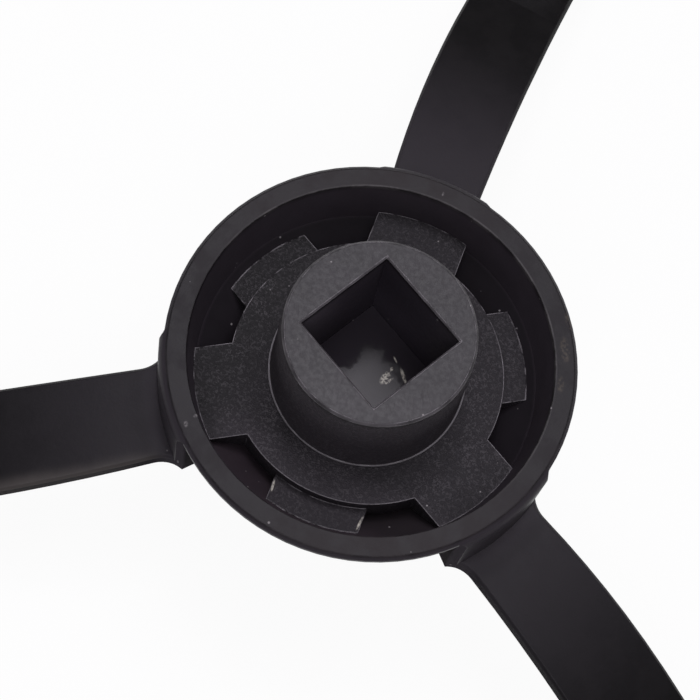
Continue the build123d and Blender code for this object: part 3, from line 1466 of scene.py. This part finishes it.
@dataclass
class ArmTip:
    """Frame of an arm's tip, in which the tuft is set. Lengths in millimetres, angles in degrees."""

    hub_radius: float = 17.0
    drop: float = 12.0
    thickness: float = 1.4
    bend_reach: float = 17.0
    reach: float = 37.0
    shift: float = -2.3
    root_dip: float = 4.6
    dip: float = 15.0
    yaw: float = -9.0

    def matrix(self, turn: float) -> Matrix:
        """Places the tip of one arm.

        Args:
            turn: The arm's turn about the spin axis, in degrees.

        Returns:
            Matrix whose X lies across the arm, Y through it and Z out along the bristles, in metres.
        """
        low, high = math.radians(self.root_dip), math.radians(self.dip)
        bend = self.bend_reach / (math.sin(high) - math.sin(low))
        straight = self.reach - self.bend_reach
        fall = bend * (math.cos(low) - math.cos(high)) + straight * math.tan(high)
        along = Vector((math.cos(high), 0.0, -math.sin(high)))
        up = Vector((math.sin(high), 0.0, math.cos(high)))
        top = Vector((self.hub_radius + self.reach, self.shift, -self.drop - fall))
        heading = Matrix.Rotation(math.radians(self.yaw), 3, up) @ along
        across = up.cross(heading)
        axes = (across, heading.cross(across), heading)
        spin = Matrix.Rotation(math.radians(turn), 4, "Z")
        return spin @ placing(axes, top - up * (self.thickness / 2))


@dataclass
class BristleTuft:
    """Fine nylon filaments, fanned out from a fused butt in the holder. Millimetres and degrees."""

    number: int
    turn: float
    tip: ArmTip = field(default_factory=ArmTip)
    width: float = 6.4
    thickness: float = 1.8
    recess: float = 0.2
    sunk: float = 2.0
    length: float = 22.5
    arch: float = 1.5
    fan: float = 8.6
    splay: float = 1.6
    filament: float = 0.2
    columns: int = 30
    rows: int = 7
    joints: int = 7
    sides: int = 6
    seed: int = 40
    stagger: float = 0.5
    fan_stray: float = 0.7
    splay_stray: float = 0.5
    trim_stray: float = 0.25
    bow_across: float = 0.25
    bow_through: float = 0.12
    filament_spread: Ends = (0.9, 1.1)
    column_stray: Ends = (0.1, 0.4)
    row_stray: Ends = (0.25, 0.75)
    taper: float = 0.15
    end_round: float = 0.75
    floor_gap: float = 1.2
    butt_half_width: float = 3.24
    butt_half_thickness: float = 0.93
    butt_width_power: float = 0.35
    butt_thickness_power: float = 0.55
    butt_corners: int = 40
    butt_levels: tuple[Ends, ...] = (
        (-5.0, 1.0), (-0.75, 1.0), (-0.45, 0.985), (-0.28, 0.93), (-0.2, 0.8)
    )

    def strand(
        self, mesh: bmesh.types.BMesh, column: float, row: float, chance: random.Random, floor: float
    ) -> None:
        """Adds one filament, whose end bends up where it would go into the floor.

        Args:
            mesh: Mesh to add to.
            column: Place across the tuft, from -1 to 1.
            row: Place through the tuft, from -1 to 1.
            chance: Seeded source of the small differences.
            floor: Height of the floor, in metres.
        """
        place = self.tip.matrix(self.turn)
        depth = -self.recess - self.sunk
        start = Vector((column * self.width / 2, row * self.thickness / 2, depth))
        lean = math.radians(self.fan * column + chance.gauss(0.0, self.fan_stray))
        tilt = math.radians(self.splay * row + chance.gauss(0.0, self.splay_stray))
        heading = Vector((math.tan(lean), math.tan(tilt), 1.0))
        trimmed = abs(chance.gauss(0.0, self.trim_stray))
        reach = self.length - self.arch * column ** 2 + self.sunk - trimmed
        bow = Vector((chance.gauss(0.0, self.bow_across), chance.gauss(0.0, self.bow_through), 0.0))
        radius = self.filament / 2 * chance.uniform(*self.filament_spread)
        rings = []
        for joint in range(self.joints + 1):
            share = joint / self.joints
            middle = start + heading * (reach * share) + bow * (share ** 2)
            end = self.end_round if joint == self.joints else 1.0
            thick = radius * (1.0 - self.taper * share) * end
            lift = max(0.0, floor + self.floor_gap * thick * MM - (place @ (middle * MM)).z)
            ring = []
            for side in range(self.sides):
                turn = 2 * math.pi * side / self.sides
                aside = Vector((math.cos(turn), math.sin(turn), 0.0)) * thick
                corner = place @ ((middle + aside) * MM)
                ring.append(mesh.verts.new(corner + Vector((0.0, 0.0, lift))))
            rings.append(ring)
        add_skin(mesh, rings)

    def butt(self, mesh: bmesh.types.BMesh) -> None:
        """Adds the fused butt, a block with round ends and a low crown, in the pocket's mouth.

        Args:
            mesh: Mesh to add to.
        """
        place = self.tip.matrix(self.turn)
        rings = []
        for level, share in self.butt_levels:
            ring = []
            for step in range(self.butt_corners):
                turn = 2 * math.pi * step / self.butt_corners
                across, through = math.cos(turn), math.sin(turn)
                x = math.copysign(abs(across) ** self.butt_width_power, across)
                y = math.copysign(abs(through) ** self.butt_thickness_power, through)
                x *= self.butt_half_width * share
                y *= self.butt_half_thickness * share
                ring.append(mesh.verts.new(place @ (Vector((x, y, level)) * MM)))
            rings.append(ring)
        add_skin(mesh, rings)

    def build(self, material: bpy.types.Material, floor: float) -> bpy.types.Object:
        """Makes the tuft in place of its CAD node.

        Args:
            material: Finish of the filaments.
            floor: Height of the floor, in metres.

        Returns:
            The tuft's object.
        """
        chance = random.Random(self.seed + self.number)
        mesh = bmesh.new()
        self.butt(mesh)
        for row in range(self.rows):
            for column in range(self.columns):
                shift = self.stagger * (row % 2) + chance.uniform(*self.column_stray)
                across = 2 * (column + shift) / (self.columns + self.stagger) - 1
                through = 2 * (row + chance.uniform(*self.row_stray)) / self.rows - 1
                self.strand(mesh, across, through, chance, floor)
        tuft = add_mesh(f"bristles_{self.number}", mesh, material)
        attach(tuft, "root")
        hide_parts(f"bristle_tuft_{self.number}")
        LOG.info("built %s with %d filaments", tuft.name, self.rows * self.columns)
        return tuft


@dataclass(frozen=True)
class Lamp:
    """A round area lamp that points at the brush. Metres and watts."""

    name: str
    way: Place
    size: float
    power: float
    away: float = 0.60
    colour: Colour = (0.985, 0.94, 1.03)

    def hang(self) -> None:
        """Adds the lamp to the scene."""
        data = bpy.data.lights.new(self.name, "AREA")
        data.shape = "DISK"
        data.size = self.size
        data.energy = self.power
        data.color = self.colour
        lamp = add_object(self.name, data)
        way = Vector(self.way).normalized()
        lamp.location = way * self.away
        lamp.rotation_mode = "QUATERNION"
        lamp.rotation_quaternion = way.to_track_quat("Z", "Y")


@dataclass
class Studio:
    """Pale floor and soft light, in metres, and the photograph's camera, in millimetres."""

    floor_size: float = 3.0
    floor_cells: int = 4
    lamps: tuple[Lamp, ...] = (
        Lamp("softbox", (-0.100, 0.300, 0.945), 0.34, 1.30),
        Lamp("window", (-0.300, 0.207, 0.931), 0.10, 0.38),
        Lamp("fill", (0.300, -0.480, 0.820), 0.45, 1.25, 0.70),
    )
    sky_low: Colour = (0.10, 0.097, 0.101)
    sky_high: Colour = (0.42, 0.409, 0.425)
    eye: Place = (31.49, -49.46, 152.59)
    look: Place = (-0.1955, 0.2862, -0.9380)
    up: Place = (-0.7443, 0.5796, 0.3320)
    lens: float = 106.92
    sensor: float = 36.0
    nearest: float = 10.0

    def floor(self, level: float) -> None:
        """Lays the floor.

        Args:
            level: Height of the floor, in metres.
        """
        mesh = bmesh.new()
        bmesh.ops.create_grid(
            mesh, x_segments=self.floor_cells, y_segments=self.floor_cells, size=self.floor_size
        )
        floor = add_mesh("floor", mesh, FloorFinish().material())
        floor.location.z = level
        floor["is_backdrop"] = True

    def light(self) -> None:
        """Hangs the lamps and sets the world's even light, paler overhead."""
        for lamp in self.lamps:
            lamp.hang()
        world = bpy.data.worlds.new("even_light")
        bpy.context.scene.world = world
        world.use_nodes = True
        wiring = Wiring(world.node_tree)
        height = wiring.axes(wiring.node("ShaderNodeTexCoord").outputs["Generated"])["Z"]
        sky = world.node_tree.nodes["Background"]
        wiring.feed(sky.inputs["Color"], wiring.tint(height, self.sky_low, self.sky_high))
        sky.inputs["Strength"].default_value = 1.0

    def camera(self) -> None:
        """Sets the camera where the photograph was taken from."""
        data = bpy.data.cameras.new("camera")
        data.lens = self.lens
        data.sensor_width = self.sensor
        data.clip_start = self.nearest * MM
        camera = add_object("camera", data)
        back = -Vector(self.look).normalized()
        right = Vector(self.up).cross(back).normalized()
        camera.matrix_world = placing((right, back.cross(right), back), Vector(self.eye))
        bpy.context.scene.camera = camera


def main() -> None:
    """Builds the pieces in order."""
    logging.basicConfig(level=logging.INFO)
    low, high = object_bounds()
    bpy.context.scene.view_settings.view_transform = "Standard"
    DriveCore().dress(frame["nodes"])
    SoftSpider().dress(frame["nodes"])
    nylon = BristleFinish().material()
    for number in range(ARM_COUNT):
        BristleTuft(number + 1, 360.0 / ARM_COUNT * number).build(nylon, low.z)
    studio = Studio()
    studio.floor(low.z)
    studio.light()
    studio.camera()
    low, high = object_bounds()


if __name__ == "__main__":
    main()
